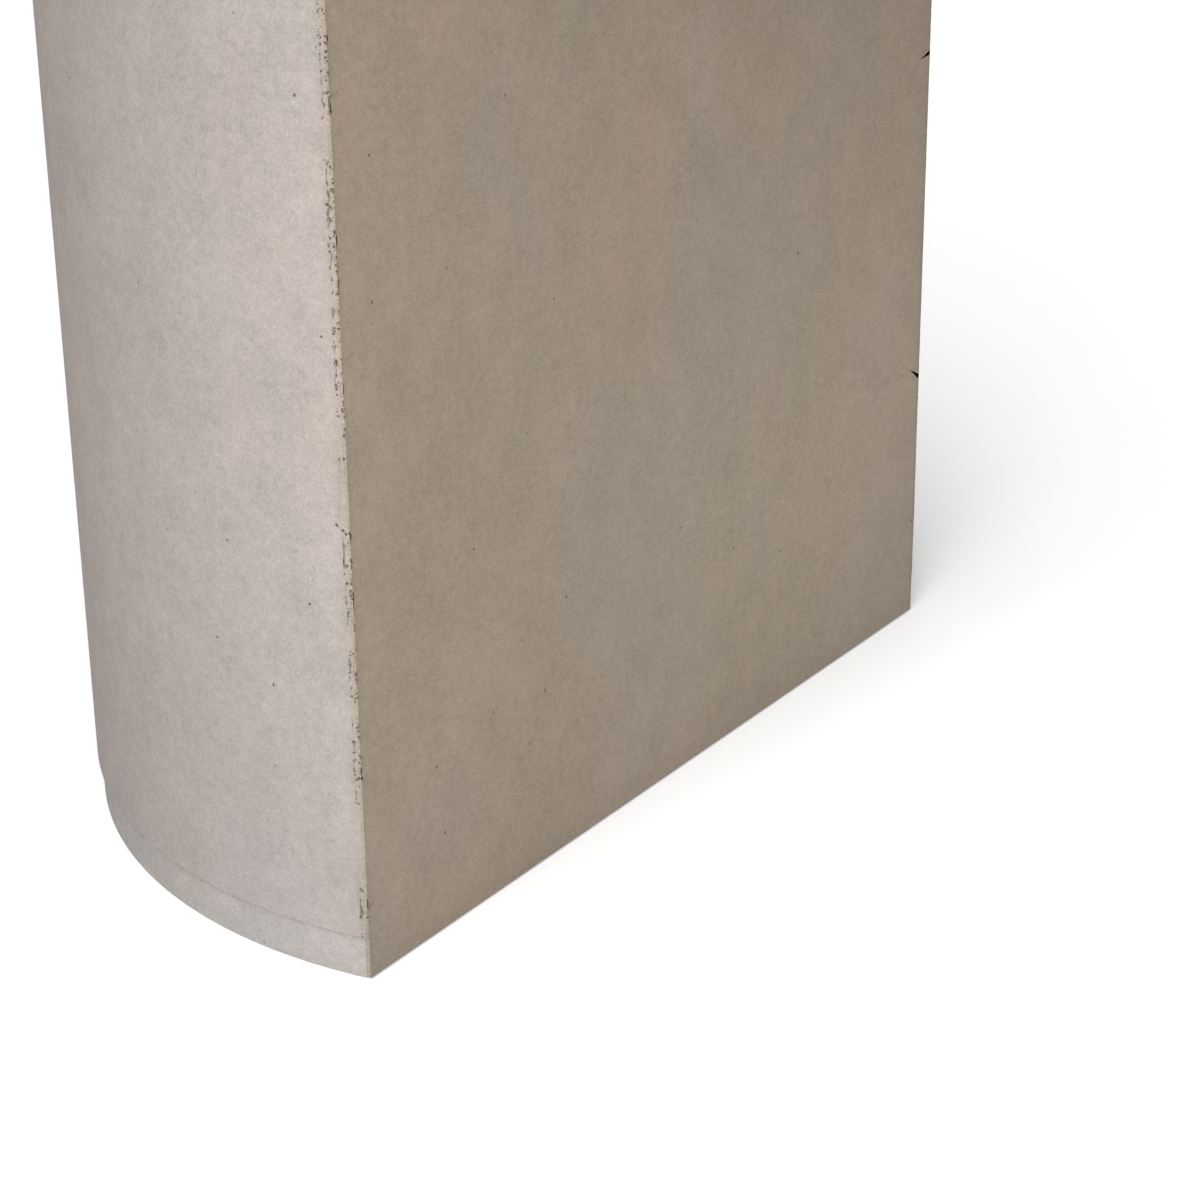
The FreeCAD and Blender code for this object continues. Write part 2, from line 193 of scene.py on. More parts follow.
def swept(name, rings, pair_caps=True):
    """A closed solid through rings of points. A C-shaped plan gets its caps in pairs of points."""
    mesh = bmesh.new()
    made = [[mesh.verts.new(point) for point in ring] for ring in rings]
    count = len(made[0])
    for low, high in zip(made, made[1:]):
        for index in range(count):
            after = (index + 1) % count
            mesh.faces.new((low[index], low[after], high[after], high[index]))
    if pair_caps:
        for index in range(count // 2 - 1):
            quad = (index, index + 1, count - 2 - index, count - 1 - index)
            mesh.faces.new([made[-1][corner] for corner in quad])
            mesh.faces.new([made[0][corner] for corner in quad[::-1]])
    else:
        mesh.faces.new(made[-1])
        mesh.faces.new(made[0][::-1])
    data = bpy.data.meshes.new(name)
    mesh.to_mesh(data)
    mesh.free()
    piece = bpy.data.objects.new(name, data)
    bpy.context.scene.collection.objects.link(piece)
    return piece


# %% [markdown]
# ## The curved shell
# One skin that sweeps just past a half circle. A cylinder with a slice cut off would give the outside, but
# not the wall, the mitre at each end or the ground arris. Its own plan gives all of them, with a point at
# about every degree, so that the outline stays smooth close up.

# %% Curved shell
ARC_STEPS = 240
SHELL_RIM = 0.9 * MM

shell_outside = (
    [seam]
    + arc(ROUND_RADIUS, edge_turn, math.pi - edge_turn, ARC_STEPS)
    + [mirrored(seam)]
)
shell_inside = arc(inner_radius, inner_turn, math.pi - inner_turn, len(shell_outside) - 1)
shell_loop = shell_outside + shell_inside[::-1]
shell_free = [1] * len(shell_loop)
shell_free[len(shell_outside) - 1] = 0
shell_free[-1] = 0
shell_rows = (
    rim_rows(TOE_TOP, SHELL_RIM, False)
    + wall_rows(TOE_TOP + SHELL_RIM, TOP - SHELL_RIM)
    + rim_rows(TOP, SHELL_RIM, True)
)
shell = swept("cast_shell", rings_of(shell_loop, shell_free, shell_rows))
print("shell", len(shell.data.polygons), "faces")

# %% [markdown]
# ## The toe band
# Round the foot of the curved side the casting steps back by under 3 mm. The shadow line above it makes the
# heavy body look as if it floats. Its rims are tighter, because a thin form board makes that edge.

# %% Toe band
TOE_RIM = 0.5 * MM

toe_turn = math.atan2(toe_seam.y - CENTRE_Y, toe_seam.x)
toe_outside = arc(TOE_RADIUS, toe_turn, math.pi - toe_turn, ARC_STEPS)
toe_inside = arc(inner_radius, inner_turn, math.pi - inner_turn, ARC_STEPS)
toe_loop = toe_outside + toe_inside[::-1]
toe_free = [1] * len(toe_loop)
toe_free[len(toe_outside) - 1] = 0
toe_free[-1] = 0
toe_rows = rim_rows(TOE_FOOT, TOE_RIM, False) + rim_rows(TOE_TOP, TOE_RIM, True)
toe = swept("toe_casting", rings_of(toe_loop, toe_free, toe_rows))
print("toe", len(toe.data.polygons), "faces")

# %% [markdown]
# ## The face panel
# A flat slab that reaches the floor line. Down at the toe its ends are cut back to the toe's radius, and the
# ground arris runs into that cut along a short slope, the mark of the grinding disc as it leaves the edge.

# %% Face panel
PANEL_RIM = 0.8 * MM
PANEL_STRIPS = 48
SLOPE_TOP = 1.6 * MM
SLOPE_FOOT = 1.2 * MM


def panel_loop(end, edge):
    """The panel's plan, from its joint on the left to its joint on the right and back inside."""
    left, right = mirrored(edge), edge
    middle = [left.lerp(right, strip / PANEL_STRIPS) for strip in range(PANEL_STRIPS + 1)]
    outside = [mirrored(end)] + middle + [end]
    start, stop = mirrored(inner_corner), inner_corner
    inside = [start.lerp(stop, strip / (len(outside) - 1)) for strip in range(len(outside))]
    return outside + inside[::-1]


panel_low_loop = panel_loop(toe_seam, toe_flat)
panel_high_loop = panel_loop(seam, flat_edge)
panel_free = [1] * len(panel_low_loop)
panel_free[len(panel_low_loop) // 2 - 1] = 0
panel_free[-1] = 0
low_rows = rim_rows(TOE_FOOT, PANEL_RIM, False) + [(TOE_TOP - SLOPE_FOOT, 0)]
high_rows = (
    [(TOE_TOP + SLOPE_TOP, 0)]
    + wall_rows(TOE_TOP + SLOPE_TOP, TOP - PANEL_RIM)
    + rim_rows(TOP, PANEL_RIM, True)
)
panel = swept(
    "cast_face",
    rings_of(panel_low_loop, panel_free, low_rows) + rings_of(panel_high_loop, panel_free, high_rows),
)
print("panel", len(panel.data.polygons), "faces")

# %% [markdown]
# ## The deck
# A cast slab drops in between the skins and closes the top, with an open joint of a millimetre all round.
# It is a D as well, with four round holes for the threaded sockets that hold a table top. The holes are cut
# with a Boolean, which is how a core in the mould makes them.

# %% Deck
DECK_RIM = 0.8 * MM
HOLE_SIDES = 48
socket_x = socket_high.x - SOCKET_RADIUS
socket_rows = (socket_low.y + SOCKET_RADIUS, socket_high.y - SOCKET_RADIUS)

deck_x = math.sqrt(DECK_RADIUS**2 - (deck_low.y - CENTRE_Y) ** 2)
deck_turn = math.atan2(deck_low.y - CENTRE_Y, deck_x)
deck_loop = arc(DECK_RADIUS, deck_turn, math.pi - deck_turn, ARC_STEPS)
deck_rows = rim_rows(deck_low.z, DECK_RIM, False) + rim_rows(deck_high.z, DECK_RIM, True)
deck = swept("deck_casting", rings_of(deck_loop, [1] * len(deck_loop), deck_rows), False)


def socket_cores():
    """Four upright cores, a little taller than the deck."""
    mesh = bmesh.new()
    for side in (-1, 1):
        for row in socket_rows:
            place = Matrix.Translation((side * socket_x, row, (deck_low.z + deck_high.z) / 2))
            bmesh.ops.create_cone(
                mesh,
                cap_ends=True,
                segments=HOLE_SIDES,
                radius1=SOCKET_RADIUS,
                radius2=SOCKET_RADIUS,
                depth=2 * (deck_high.z - deck_low.z),
                matrix=place,
            )
    data = bpy.data.meshes.new("socket_cores")
    mesh.to_mesh(data)
    mesh.free()
    cores = bpy.data.objects.new("socket_cores", data)
    bpy.context.scene.collection.objects.link(cores)
    return cores


def take_result(piece):
    """Replaces a piece's mesh by what its modifiers make of it, and removes the modifiers."""
    graph = bpy.context.evaluated_depsgraph_get()
    result = bpy.data.meshes.new_from_object(piece.evaluated_get(graph))
    piece.modifiers.clear()
    piece.data = result
    return piece


grid = bmesh.new()
grid.from_mesh(deck.data)
for step in range(1, 24):
    for normal, start in (((1, 0, 0), -DECK_RADIUS), ((0, 1, 0), deck_low.y)):
        place = Vector(normal) * (start + 2 * DECK_RADIUS * step / 24)
        everything = grid.verts[:] + grid.edges[:] + grid.faces[:]
        bmesh.ops.bisect_plane(grid, geom=everything, plane_co=place, plane_no=normal)
grid.to_mesh(deck.data)
grid.free()
cores = socket_cores()
cut = deck.modifiers.new("cores", "BOOLEAN")
cut.object = cores
cut.solver = "EXACT"
take_result(deck)
bpy.data.objects.remove(cores)
print("deck", len(deck.data.polygons), "faces")

# %% [markdown]
# ## Sums on a material's sockets
# A material is a graph of small sums. Written as nodes and links it is long and hard to read, so one class
# wraps a socket and lets Python's own signs add the Math nodes: `1 - mask * 0.5` reads as what it does.
# Every other node comes from one method that takes its type, its settings and its inputs.

# %% A socket that can be added and multiplied
class Shade:
    """One output socket of a material."""

    def __init__(self, finish, socket):
        self.finish = finish
        self.socket = socket

    def sum_with(self, operation, first, second=None):
        inputs = {0: first} if second is None else {0: first, 1: second}
        return self.finish.node("ShaderNodeMath", {"operation": operation}, inputs)

    def __add__(self, other):
        return self.sum_with("ADD", self, other)

    def __sub__(self, other):
        return self.sum_with("SUBTRACT", self, other)

    def __mul__(self, other):
        return self.sum_with("MULTIPLY", self, other)

    def __truediv__(self, other):
        return self.sum_with("DIVIDE", self, other)

    def __radd__(self, other):
        return self.sum_with("ADD", other, self)

    def __rsub__(self, other):
        return self.sum_with("SUBTRACT", other, self)

    def __rmul__(self, other):
        return self.sum_with("MULTIPLY", other, self)

    def size(self):
        """The value without its sign."""
        return self.sum_with("ABSOLUTE", self)

    def root(self):
        return self.sum_with("SQRT", self)

    def ramp(self, zero_at, one_at):
        """A soft step: 0 at the first value and 1 at the second."""
        flip = zero_at > one_at
        low, high = min(zero_at, one_at), max(zero_at, one_at)
        settings = {"interpolation_type": "SMOOTHSTEP"}
        step = self.finish.node(
            "ShaderNodeMapRange", settings, {"Value": self, "From Min": low, "From Max": high}
        )
        return 1 - step if flip else step


class Finish:
    """A material being made."""

    def __init__(self, name):
        self.material = bpy.data.materials.new(name)
        self.material.use_nodes = True
        self.tree = self.material.node_tree
        self.tree.nodes.clear()
        self.place = self.node("ShaderNodeTexCoord", output="Object")

    def node(self, kind, settings=None, inputs=None, output=0):
        """Adds a node: its settings first, then the values or links of its inputs."""
        made = self.tree.nodes.new(kind)
        for key, value in (settings or {}).items():
            setattr(made, key, value)
        for key, value in (inputs or {}).items():
            if isinstance(value, Shade):
                self.tree.links.new(value.socket, made.inputs[key])
            else:
                made.inputs[key].default_value = value
        return Shade(self, made.outputs[output])

    def axis(self, letter):
        """One coordinate of the place on the piece."""
        return self.node("ShaderNodeSeparateXYZ", None, {0: self.place}, letter)

    def stretched(self, amounts):
        """The place with its axes scaled, so that a pattern is longer one way."""
        inputs = {0: self.place, 1: amounts}
        return self.node("ShaderNodeVectorMath", {"operation": "MULTIPLY"}, inputs)

    def noise(self, scale, detail=2, roughness=0.5, stretch=(1, 1, 1), shift=0.0):
        """Cloudy noise, with about that many lumps to a metre."""
        inputs = {
            "Vector": self.stretched(stretch),
            "W": shift,
            "Scale": scale,
            "Detail": detail,
            "Roughness": roughness,
        }
        return self.node("ShaderNodeTexNoise", {"noise_dimensions": "4D"}, inputs)

    def specks(self, spacing, size, share):
        """Scattered round spots: their spacing and largest radius in metres, and the share kept."""
        inputs = {"Vector": self.place, "Scale": 1 / spacing, "Randomness": 1.0}
        away = self.node("ShaderNodeTexVoronoi", None, inputs, "Distance")
        lot = self.node("ShaderNodeTexVoronoi", None, inputs, "Color")
        draw = self.node("ShaderNodeSeparateColor", None, {0: lot}, "Red")
        luck = self.node("ShaderNodeSeparateColor", None, {0: lot}, "Green")
        reach = size / spacing * (0.35 + 0.65 * luck)
        spot = (reach - away) / (0.5 * reach)
        return spot.ramp(0, 1) * draw.ramp(share + 0.01, share - 0.01)

    def mix(self, factor, first, second):
        """One colour into another."""
        inputs = {0: factor, 6: first, 7: second}
        return self.node("ShaderNodeMix", {"data_type": "RGBA"}, inputs, 2)

    def scaled(self, colour, amount):
        """A colour made lighter or darker."""
        inputs = {"Vector": colour, "Scale": amount}
        return self.node("ShaderNodeVectorMath", {"operation": "SCALE"}, inputs)

    def finished(self, colour, roughness, height, relief, metallic=0.0, **constants):
        """The shader itself. Relief is how deep the bumps are, in metres."""
        bump_inputs = {"Strength": 1.0, "Distance": relief, "Height": height}
        bump = self.node("ShaderNodeBump", None, bump_inputs, "Normal")
        inputs = {"Base Color": colour, "Roughness": roughness, "Metallic": metallic, "Normal": bump}
        inputs.update({key.replace("_", " "): value for key, value in constants.items()})
        shader = self.node("ShaderNodeBsdfPrincipled", None, inputs)
        output = self.tree.nodes.new("ShaderNodeOutputMaterial")
        self.tree.links.new(shader.socket, output.inputs["Surface"])
        return self.material


def rgb(red, green, blue):
    """A colour with the fourth value that sockets ask for."""
    return (red, green, blue, 1.0)


# %% [markdown]
# ## Concrete
# Sanded concrete is one colour only from far off. Close up it has slow clouds where the paste dried at
# different speeds, a faint blush and a faint grey in patches, a fine sandy grain, and a few dark and pale
# grains. Where an edge is ground, the sand in it shows as a paler line. The function below builds all of it
# from the place on the piece, so that the pattern runs on over a corner as it does through real material.

# %% Concrete
def concrete(name, body, blush, ash, sand, grain=1.0, edges=True, sanded=1.0):
    """Sanded cast concrete from four tones."""
    made = Finish(name)
    across, deep, high = made.axis("X"), made.axis("Y"), made.axis("Z")
    clouds = made.noise(5.0, 3, 0.55, (1, 1, 0.55), 0.0)
    drift = made.noise(9.0, 4, 0.6, (1, 1, 0.45), 3.7)
    mottle = made.noise(38.0, 4, 0.6, (1, 1, 0.8), 8.1)
    dapple = made.noise(170.0, 3, 0.6, (1, 1, 1), 1.9)
    grit = made.noise(620.0, 2, 0.6, (1, 1, 1), 5.5)
    dust = made.noise(1500.0, 1, 0.5, (1, 1, 1), 2.2)

    colour = made.mix(drift.ramp(0.42, 0.68), body, blush)
    colour = made.mix(clouds.ramp(0.46, 0.70), colour, ash)
    value = (
        1
        + (clouds - 0.5) * 0.22
        + (drift - 0.5) * 0.16
        + (mottle - 0.5) * 0.34
        + (dapple - 0.5) * (0.42 * grain)
        + (grit - 0.5) * (0.62 * grain)
        + (dust - 0.5) * (0.45 * grain)
    )
    dark = made.specks(7 * MM, 0.45 * MM, 0.16)
    pale = made.specks(5 * MM, 0.42 * MM, 0.14)
    value = value * (1 - 0.30 * dark)
    colour = made.mix(pale * 0.35, colour, sand)
    height = mottle * 0.35 + dapple * 0.30 + grit * 0.30 + dust * 0.12 - dark * 0.5

    if edges:
        side = across.size() - seam.x
        back = deep - seam.y
        away = (side * side + back * back).root() + (dapple - 0.5) * (1.1 * MM)
        arris = away.ramp(2.3 * MM, 1.6 * MM)
        # Painted shadow: a thin strip beside the ground arris is made up to 7 % darker below.
        arris_shadow_strip = away.ramp(7 * MM, 2 * MM) * (1 - arris)
        rims = high.ramp(TOP - 1.8 * MM, TOP - 0.4 * MM)
        worn = (arris + rims * 0.5).ramp(0, 1) * (0.55 + 0.45 * grit.ramp(0.35, 0.6))
        colour = made.mix(worn * 0.85, colour, sand)
        value = value * (1 - 0.07 * arris_shadow_strip)
        height = height + (grit - 0.5) * arris * 0.8
    # Darker in mottled patches over the lowest 22 mm, towards the floor.
    foot = high.ramp(22 * MM, 2 * MM)
    value = value * (1 - 0.10 * foot * mottle.ramp(0.35, 0.7))
    colour = made.scaled(colour, value)
    roughness = 0.80 + (mottle - 0.5) * 0.14 + (grit - 0.5) * 0.10 + dark * 0.08
    return made.finished(colour, roughness, height, 0.35 * MM * sanded, Specular_IOR_Level=0.15)


FACE_SAND = rgb(0.190, 0.166, 0.135)
shell_concrete = concrete(
    "shell_cast",
    rgb(0.203, 0.181, 0.165),
    rgb(0.212, 0.183, 0.164),
    rgb(0.193, 0.175, 0.167),
    FACE_SAND,
)
# The flat face's concrete is darker and browner than the shell's: partly its own casting's tone, partly
# painted shade for the face that the key light only grazes.
shaded_face_concrete = concrete(
    "face_cast_shaded",
    rgb(0.153, 0.125, 0.096),
    rgb(0.162, 0.125, 0.095),
    rgb(0.144, 0.122, 0.099),
    FACE_SAND,
)
toe_concrete = concrete(
    "toe_cast",
    rgb(0.220, 0.202, 0.187),
    rgb(0.223, 0.201, 0.184),
    rgb(0.210, 0.196, 0.186),
    rgb(0.36, 0.33, 0.28),
    edges=False,
)
deck_concrete = concrete(
    "deck_cast",
    rgb(0.202, 0.178, 0.156),
    rgb(0.211, 0.179, 0.154),
    rgb(0.192, 0.174, 0.160),
    FACE_SAND,
    grain=1.2,
)
backing_concrete = concrete(
    "backing_cast",
    rgb(0.27, 0.255, 0.235),
    rgb(0.29, 0.262, 0.235),
    rgb(0.25, 0.243, 0.232),
    rgb(0.40, 0.37, 0.33),
    grain=1.6,
    edges=False,
    sanded=3.0,
)

# %% [markdown]
# ## Inside a pore
# A pore is a burst air bubble. Its wall is painted a near-black brown: painted shade for the deep shadow in
# the small hollow.

# %% Pore wall
def shaded_pore_wall():
    """The rough wall of an opened air bubble, painted dark: painted shade in the hollow."""
    made = Finish("shaded_pore_wall")
    speckle = made.noise(1400.0, 2, 0.6)
    patches = made.noise(90.0, 2, 0.5)
    # Painted shade: the wall colour is near black-brown, standing in for the shadow inside the pore.
    colour = made.mix(speckle, rgb(0.050, 0.037, 0.028), rgb(0.115, 0.088, 0.066))
    colour = made.scaled(colour, 0.7 + 0.6 * patches)
    return made.finished(colour, 0.88 + 0.1 * (speckle - 0.5), speckle, 0.1 * MM)


pore_shade_material = shaded_pore_wall()
print("pore wall made as", pore_shade_material.name)

# %% [markdown]
# ## Pores
# Grinding the arris opens the air bubbles behind it, so it is dotted with small dark pores, in two uneven
# rows along its edges. The faces have a pinhole here and there. Painted dots would look flat from the side,
# so every pore is really cut: a Geometry Nodes tree scatters small rough balls and takes them out of the
# casting with a Boolean. Both castings get the same seed, so a pore on the joint is cut from both of them.

# %% A tree that scatters and cuts the pores
class Bench:
    """A Geometry Nodes tree being made."""

    def __init__(self, name):
        self.tree = bpy.data.node_groups.new(name, "GeometryNodeTree")
        self.sockets = {}
        self.tree.interface.new_socket("Geometry", in_out="OUTPUT", socket_type="NodeSocketGeometry")
        self.source = self.tree.nodes.new("NodeGroupInput")
        self.take("Geometry", "NodeSocketGeometry")

    def take(self, name, kind):
        """A named input of the tree."""
        item = self.tree.interface.new_socket(name, in_out="INPUT", socket_type=kind)
        self.sockets[name] = item.identifier
        return self.source.outputs[name]

    def node(self, kind, settings=None, inputs=None, output=0):
        """Adds a node: its settings first, then the values or links of its inputs."""
        made = self.tree.nodes.new(kind)
        for key, value in (settings or {}).items():
            setattr(made, key, value)
        for key, value in (inputs or {}).items():
            values = value if isinstance(value, list) else [value]
            for single in values:
                if isinstance(single, bpy.types.NodeSocket):
                    self.tree.links.new(single, made.inputs[key])
                else:
                    made.inputs[key].default_value = single
        return made.outputs[output]

    def sum_of(self, operation, first, second=0.0):
        return self.node("ShaderNodeMath", {"operation": operation}, {0: first, 1: second})

    def vector(self, operation, first, second):
        places = {0: first, "Scale" if operation == "SCALE" else 1: second}
        return self.node("ShaderNodeVectorMath", {"operation": operation}, places)

    def random(self, low, high, seed, kind="FLOAT"):
        """A random value for each point."""
        places = {"FLOAT": (2, 3, 1), "FLOAT_VECTOR": (0, 1, 0)}[kind]
        inputs = {places[0]: low, places[1]: high, "Seed": seed}
        return self.node("FunctionNodeRandomValue", {"data_type": kind}, inputs, places[2])

    def end(self, result):
        last = self.tree.nodes.new("NodeGroupOutput")
        self.tree.links.new(result, last.inputs[0])
        return self.tree


def scatter_row(bench, sides, names, salt):
    """Points along one arris, as a run of loose vertices."""
    seed = bench.sum_of("ADD", names["Seed"], float(salt))
    line = bench.node(
        "GeometryNodeMeshLine",
        None,
        {"Count": names["Arris Pores"], "Start Location": (0, 0, 0), "Offset": (0, 0, 0)},
    )
    level = bench.random(0.0, 1.0, seed)
    edge = bench.random(-1.0, 1.0, bench.sum_of("ADD", seed, 1.0))
    sign = bench.sum_of("SIGN", edge)
    stray = bench.sum_of("POWER", bench.sum_of("ABSOLUTE", edge), 3.0)
    reach = bench.sum_of("MULTIPLY", sign, bench.sum_of("SUBTRACT", 1.15, stray))
    run = bench.vector("SCALE", names["Arris Run"], reach)
    foot = bench.vector("ADD", names["Arris Foot"], run)
    lift = bench.sum_of("MULTIPLY", level, names["Arris Height"])
    rise = bench.node("ShaderNodeCombineXYZ", None, {"Z": lift})
    place = bench.vector("ADD", foot, rise)
    jitter = bench.random((-0.0003,) * 3, (0.0003,) * 3, bench.sum_of("ADD", seed, 2.0), "FLOAT_VECTOR")
    place = bench.vector("ADD", place, jitter)
    place = bench.vector("MULTIPLY", place, (sides, 1, 1))
    moved = bench.node("GeometryNodeSetPosition", None, {"Geometry": line, "Position": place})
    return thinned(bench, moved, salt, 14.0, 0.45)


def thinned(bench, points, salt, scale, below):
    """Leaves points in bunches, where a slow noise is high."""
    noise = {
        "Vector": bench.node("GeometryNodeInputPosition"),
        "W": float(salt),
        "Scale": scale,
        "Detail": 3.0,
        "Roughness": 0.7,
    }
    bunch = bench.node("ShaderNodeTexNoise", {"noise_dimensions": "4D"}, noise)
    less = {"data_type": "FLOAT", "operation": "LESS_THAN"}
    bare = bench.node("FunctionNodeCompare", less, {0: bunch, 1: below})
    return bench.node("GeometryNodeDeleteGeometry", {"domain": "POINT"}, {0: points, 1: bare})


def scatter_foot(bench, names, salt):
    """Points along the bottom edge of the flat face."""
    seed = bench.sum_of("ADD", names["Seed"], float(salt))
    line = bench.node("GeometryNodeMeshLine", None, {"Count": names["Foot Chips"], "Offset": (0, 0, 0)})
    place = bench.random(names["Foot Start"], names["Foot Stop"], seed, "FLOAT_VECTOR")
    moved = bench.node("GeometryNodeSetPosition", None, {"Geometry": line, "Position": place})
    return thinned(bench, moved, salt, 16.0, 0.5)


def pore_tree():
    """Cuts arris pores and pinholes into a casting."""
    bench = Bench("cut_pores")
    names = {
        name: bench.take(name, kind)
        for name, kind in (
            ("Arris Pores", "NodeSocketInt"),
            ("Arris Foot", "NodeSocketVector"),
            ("Arris Run", "NodeSocketVector"),
            ("Arris Height", "NodeSocketFloat"),
            ("Foot Chips", "NodeSocketInt"),
            ("Foot Start", "NodeSocketVector"),
            ("Foot Stop", "NodeSocketVector"),
            ("Smallest", "NodeSocketFloat"),
            ("Largest", "NodeSocketFloat"),
            ("Pinholes", "NodeSocketFloat"),
            ("Seed", "NodeSocketInt"),
            ("Casting", "NodeSocketMaterial"),
            ("Pore", "NodeSocketMaterial"),
        )
    }
    casting = bench.source.outputs["Geometry"]
    rows = [scatter_row(bench, 1, names, 11), scatter_row(bench, -1, names, 47)]
    rows.append(scatter_foot(bench, names, 83))
    spread = bench.node(
        "GeometryNodeDistributePointsOnFaces",
        {"distribute_method": "POISSON"},
        {"Mesh": casting, "Distance Min": 0.012, "Density Max": names["Pinholes"], "Seed": names["Seed"]},
    )
    points = bench.node("GeometryNodeJoinGeometry", None, {0: rows + [spread]})
    ball = bench.node("GeometryNodeMeshUVSphere", None, {"Segments": 8, "Rings": 5, "Radius": 1.0})
    luck = bench.random(0.0, 1.0, bench.sum_of("ADD", names["Seed"], 5.0))
    share = bench.sum_of("POWER", luck, 3.0)
    span = bench.sum_of("SUBTRACT", names["Largest"], names["Smallest"])
    radius = bench.sum_of("ADD", names["Smallest"], bench.sum_of("MULTIPLY", span, share))
    shape_seed = bench.sum_of("ADD", names["Seed"], 6.0)
    squash = bench.random((0.75, 0.75, 0.8), (1.1, 1.1, 1.5), shape_seed, "FLOAT_VECTOR")
    size = bench.node("ShaderNodeVectorMath", {"operation": "SCALE"}, {0: squash, "Scale": radius})
    turn_seed = bench.sum_of("ADD", names["Seed"], 7.0)
    turn = bench.random((-0.6, -0.6, 0.0), (0.6, 0.6, 6.28), turn_seed, "FLOAT_VECTOR")
    balls = bench.node(
        "GeometryNodeInstanceOnPoints",
        None,
        {"Points": points, "Instance": ball, "Rotation": turn, "Scale": size},
    )
    balls = bench.node("GeometryNodeRealizeInstances", None, {0: balls})
    mark = {"data_type": "FLOAT", "domain": "FACE"}
    balls = bench.node("GeometryNodeStoreNamedAttribute", mark, {0: balls, "Name": "pore", "Value": 1.0})
    cut = bench.node(
        "GeometryNodeMeshBoolean",
        {"operation": "DIFFERENCE", "solver": "MANIFOLD"},
        {"Mesh 1": casting, "Mesh 2": balls},
    )
    corners = bench.node("GeometryNodeInputMeshFaceNeighbors")
    many = bench.node(
        "FunctionNodeCompare", {"data_type": "INT", "operation": "GREATER_THAN"}, {2: corners, 3: 4}
    )
    cut = bench.node("GeometryNodeTriangulate", None, {"Mesh": cut, "Selection": many})
    whole = bench.node("GeometryNodeRealizeInstances", None, {0: cut})
    painted = bench.node("GeometryNodeSetMaterial", None, {"Geometry": whole, "Material": names["Casting"]})
    inside = bench.node("GeometryNodeInputNamedAttribute", {"data_type": "FLOAT"}, {"Name": "pore"})
    chosen = bench.node(
        "FunctionNodeCompare", {"data_type": "FLOAT", "operation": "GREATER_THAN"}, {0: inside, 1: 0.5}
    )
    # The cut walls get the dark pore material: painted shade in each pore.
    walls = {"Geometry": painted, "Selection": chosen, "Material": names["Pore"]}
    painted = bench.node("GeometryNodeSetMaterial", None, walls)
    return bench, bench.end(painted)


bench, cut_pores = pore_tree()
print("tree", cut_pores.name, "with", len(cut_pores.nodes), "nodes")


# %% [markdown]
# ## Cut the pores
# The modifier's inputs are the sizes that a caster would name: how many pores, where the arris stands, how
# large they may be. The result is taken as a plain mesh, and its edges are marked sharp by their angle.

# %% Cut every casting
SHARP = math.radians(28)


def with_pores(piece, material, arris_pores, foot_chips, pinholes, largest):
    """Runs the tree on one casting and keeps the plain mesh."""
    arris_run = (flat_edge - seam).to_3d()
    values = {
        "Arris Pores": arris_pores,
        "Arris Foot": seam.to_3d(),
        "Arris Run": arris_run,
        "Arris Height": TOP,
        "Foot Chips": foot_chips,
        "Foot Start": Vector((-half_face, FACE_Y - 0.2 * MM, TOE_FOOT)),
        "Foot Stop": Vector((half_face, FACE_Y + 0.6 * MM, TOE_FOOT + 0.6 * MM)),
        "Smallest": 0.24 * MM,
        "Largest": largest,
        "Pinholes": pinholes,
        "Seed": 5,
        "Casting": material,
        "Pore": pore_shade_material,
    }
    piece.data.materials.append(material)
    holes = piece.modifiers.new("pores", "NODES")
    holes.node_group = cut_pores
    for name, value in values.items():
        holes[bench.sockets[name]] = value
    take_result(piece)
    for polygon in piece.data.polygons:
        polygon.use_smooth = True
    piece.data.set_sharp_from_angle(angle=SHARP)
    if "pore" in piece.data.attributes:
        piece.data.attributes.remove(piece.data.attributes["pore"])
    normals = piece.modifiers.new("normals", "WEIGHTED_NORMAL")
    normals.keep_sharp = True
    take_result(piece)
    print(piece.name, len(piece.data.polygons), "faces,", [m.name for m in piece.data.materials])
    return piece


with_pores(shell, shell_concrete, 1500, 0, 300.0, 1.05 * MM)
with_pores(panel, shaded_face_concrete, 1500, 160, 220.0, 1.05 * MM)
with_pores(toe, toe_concrete, 0, 0, 500.0, 0.7 * MM)
with_pores(deck, deck_concrete, 0, 0, 900.0, 0.9 * MM)

for piece, node, slot in (
    (shell, "curved_shell", "cast_concrete"),
    (panel, "face_panel", "cast_concrete"),
    (toe, "toe_band", "toe_concrete"),
    (deck, "top_deck", "cast_concrete"),
):
    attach(piece, "root")
    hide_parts(node)

# %% [markdown]
# ## Steel, zinc and plastic
# The frame is tube with a satin black coat, the sockets are turned steel, the feet are zinc-plated steel on
# moulded plastic pads. The CAD pieces have the right shapes, so they stay and only get their finishes.

# %% Metal and plastic finishes
def black_coat():
    """Satin powder coat: a faint orange-peel skin with dust on it."""
    made = Finish("black_coat")
    peel = made.noise(900.0, 2, 0.5)
    patches = made.noise(22.0, 3, 0.6)
    dust = made.specks(6 * MM, 0.5 * MM, 0.25)
    colour = made.mix(patches.ramp(0.4, 0.75), rgb(0.040, 0.040, 0.043), rgb(0.062, 0.060, 0.060))
    colour = made.mix(dust * 0.6, colour, rgb(0.30, 0.28, 0.25))
    roughness = 0.42 + (patches - 0.5) * 0.2 + dust * 0.3
    return made.finished(colour, roughness, peel, 0.06 * MM)


def turned_steel():
    """Steel from the lathe: fine rings and a dull oil film."""
    made = Finish("turned_steel")
    rings = made.noise(1800.0, 1, 0.5, (0.2, 0.2, 1))
    film = made.noise(160.0, 3, 0.6)
    colour = made.mix(film, rgb(0.50, 0.49, 0.47), rgb(0.66, 0.65, 0.63))
    roughness = 0.30 + (film - 0.5) * 0.25 + (rings - 0.5) * 0.12
    return made.finished(colour, roughness, rings, 0.03 * MM, metallic=1.0)


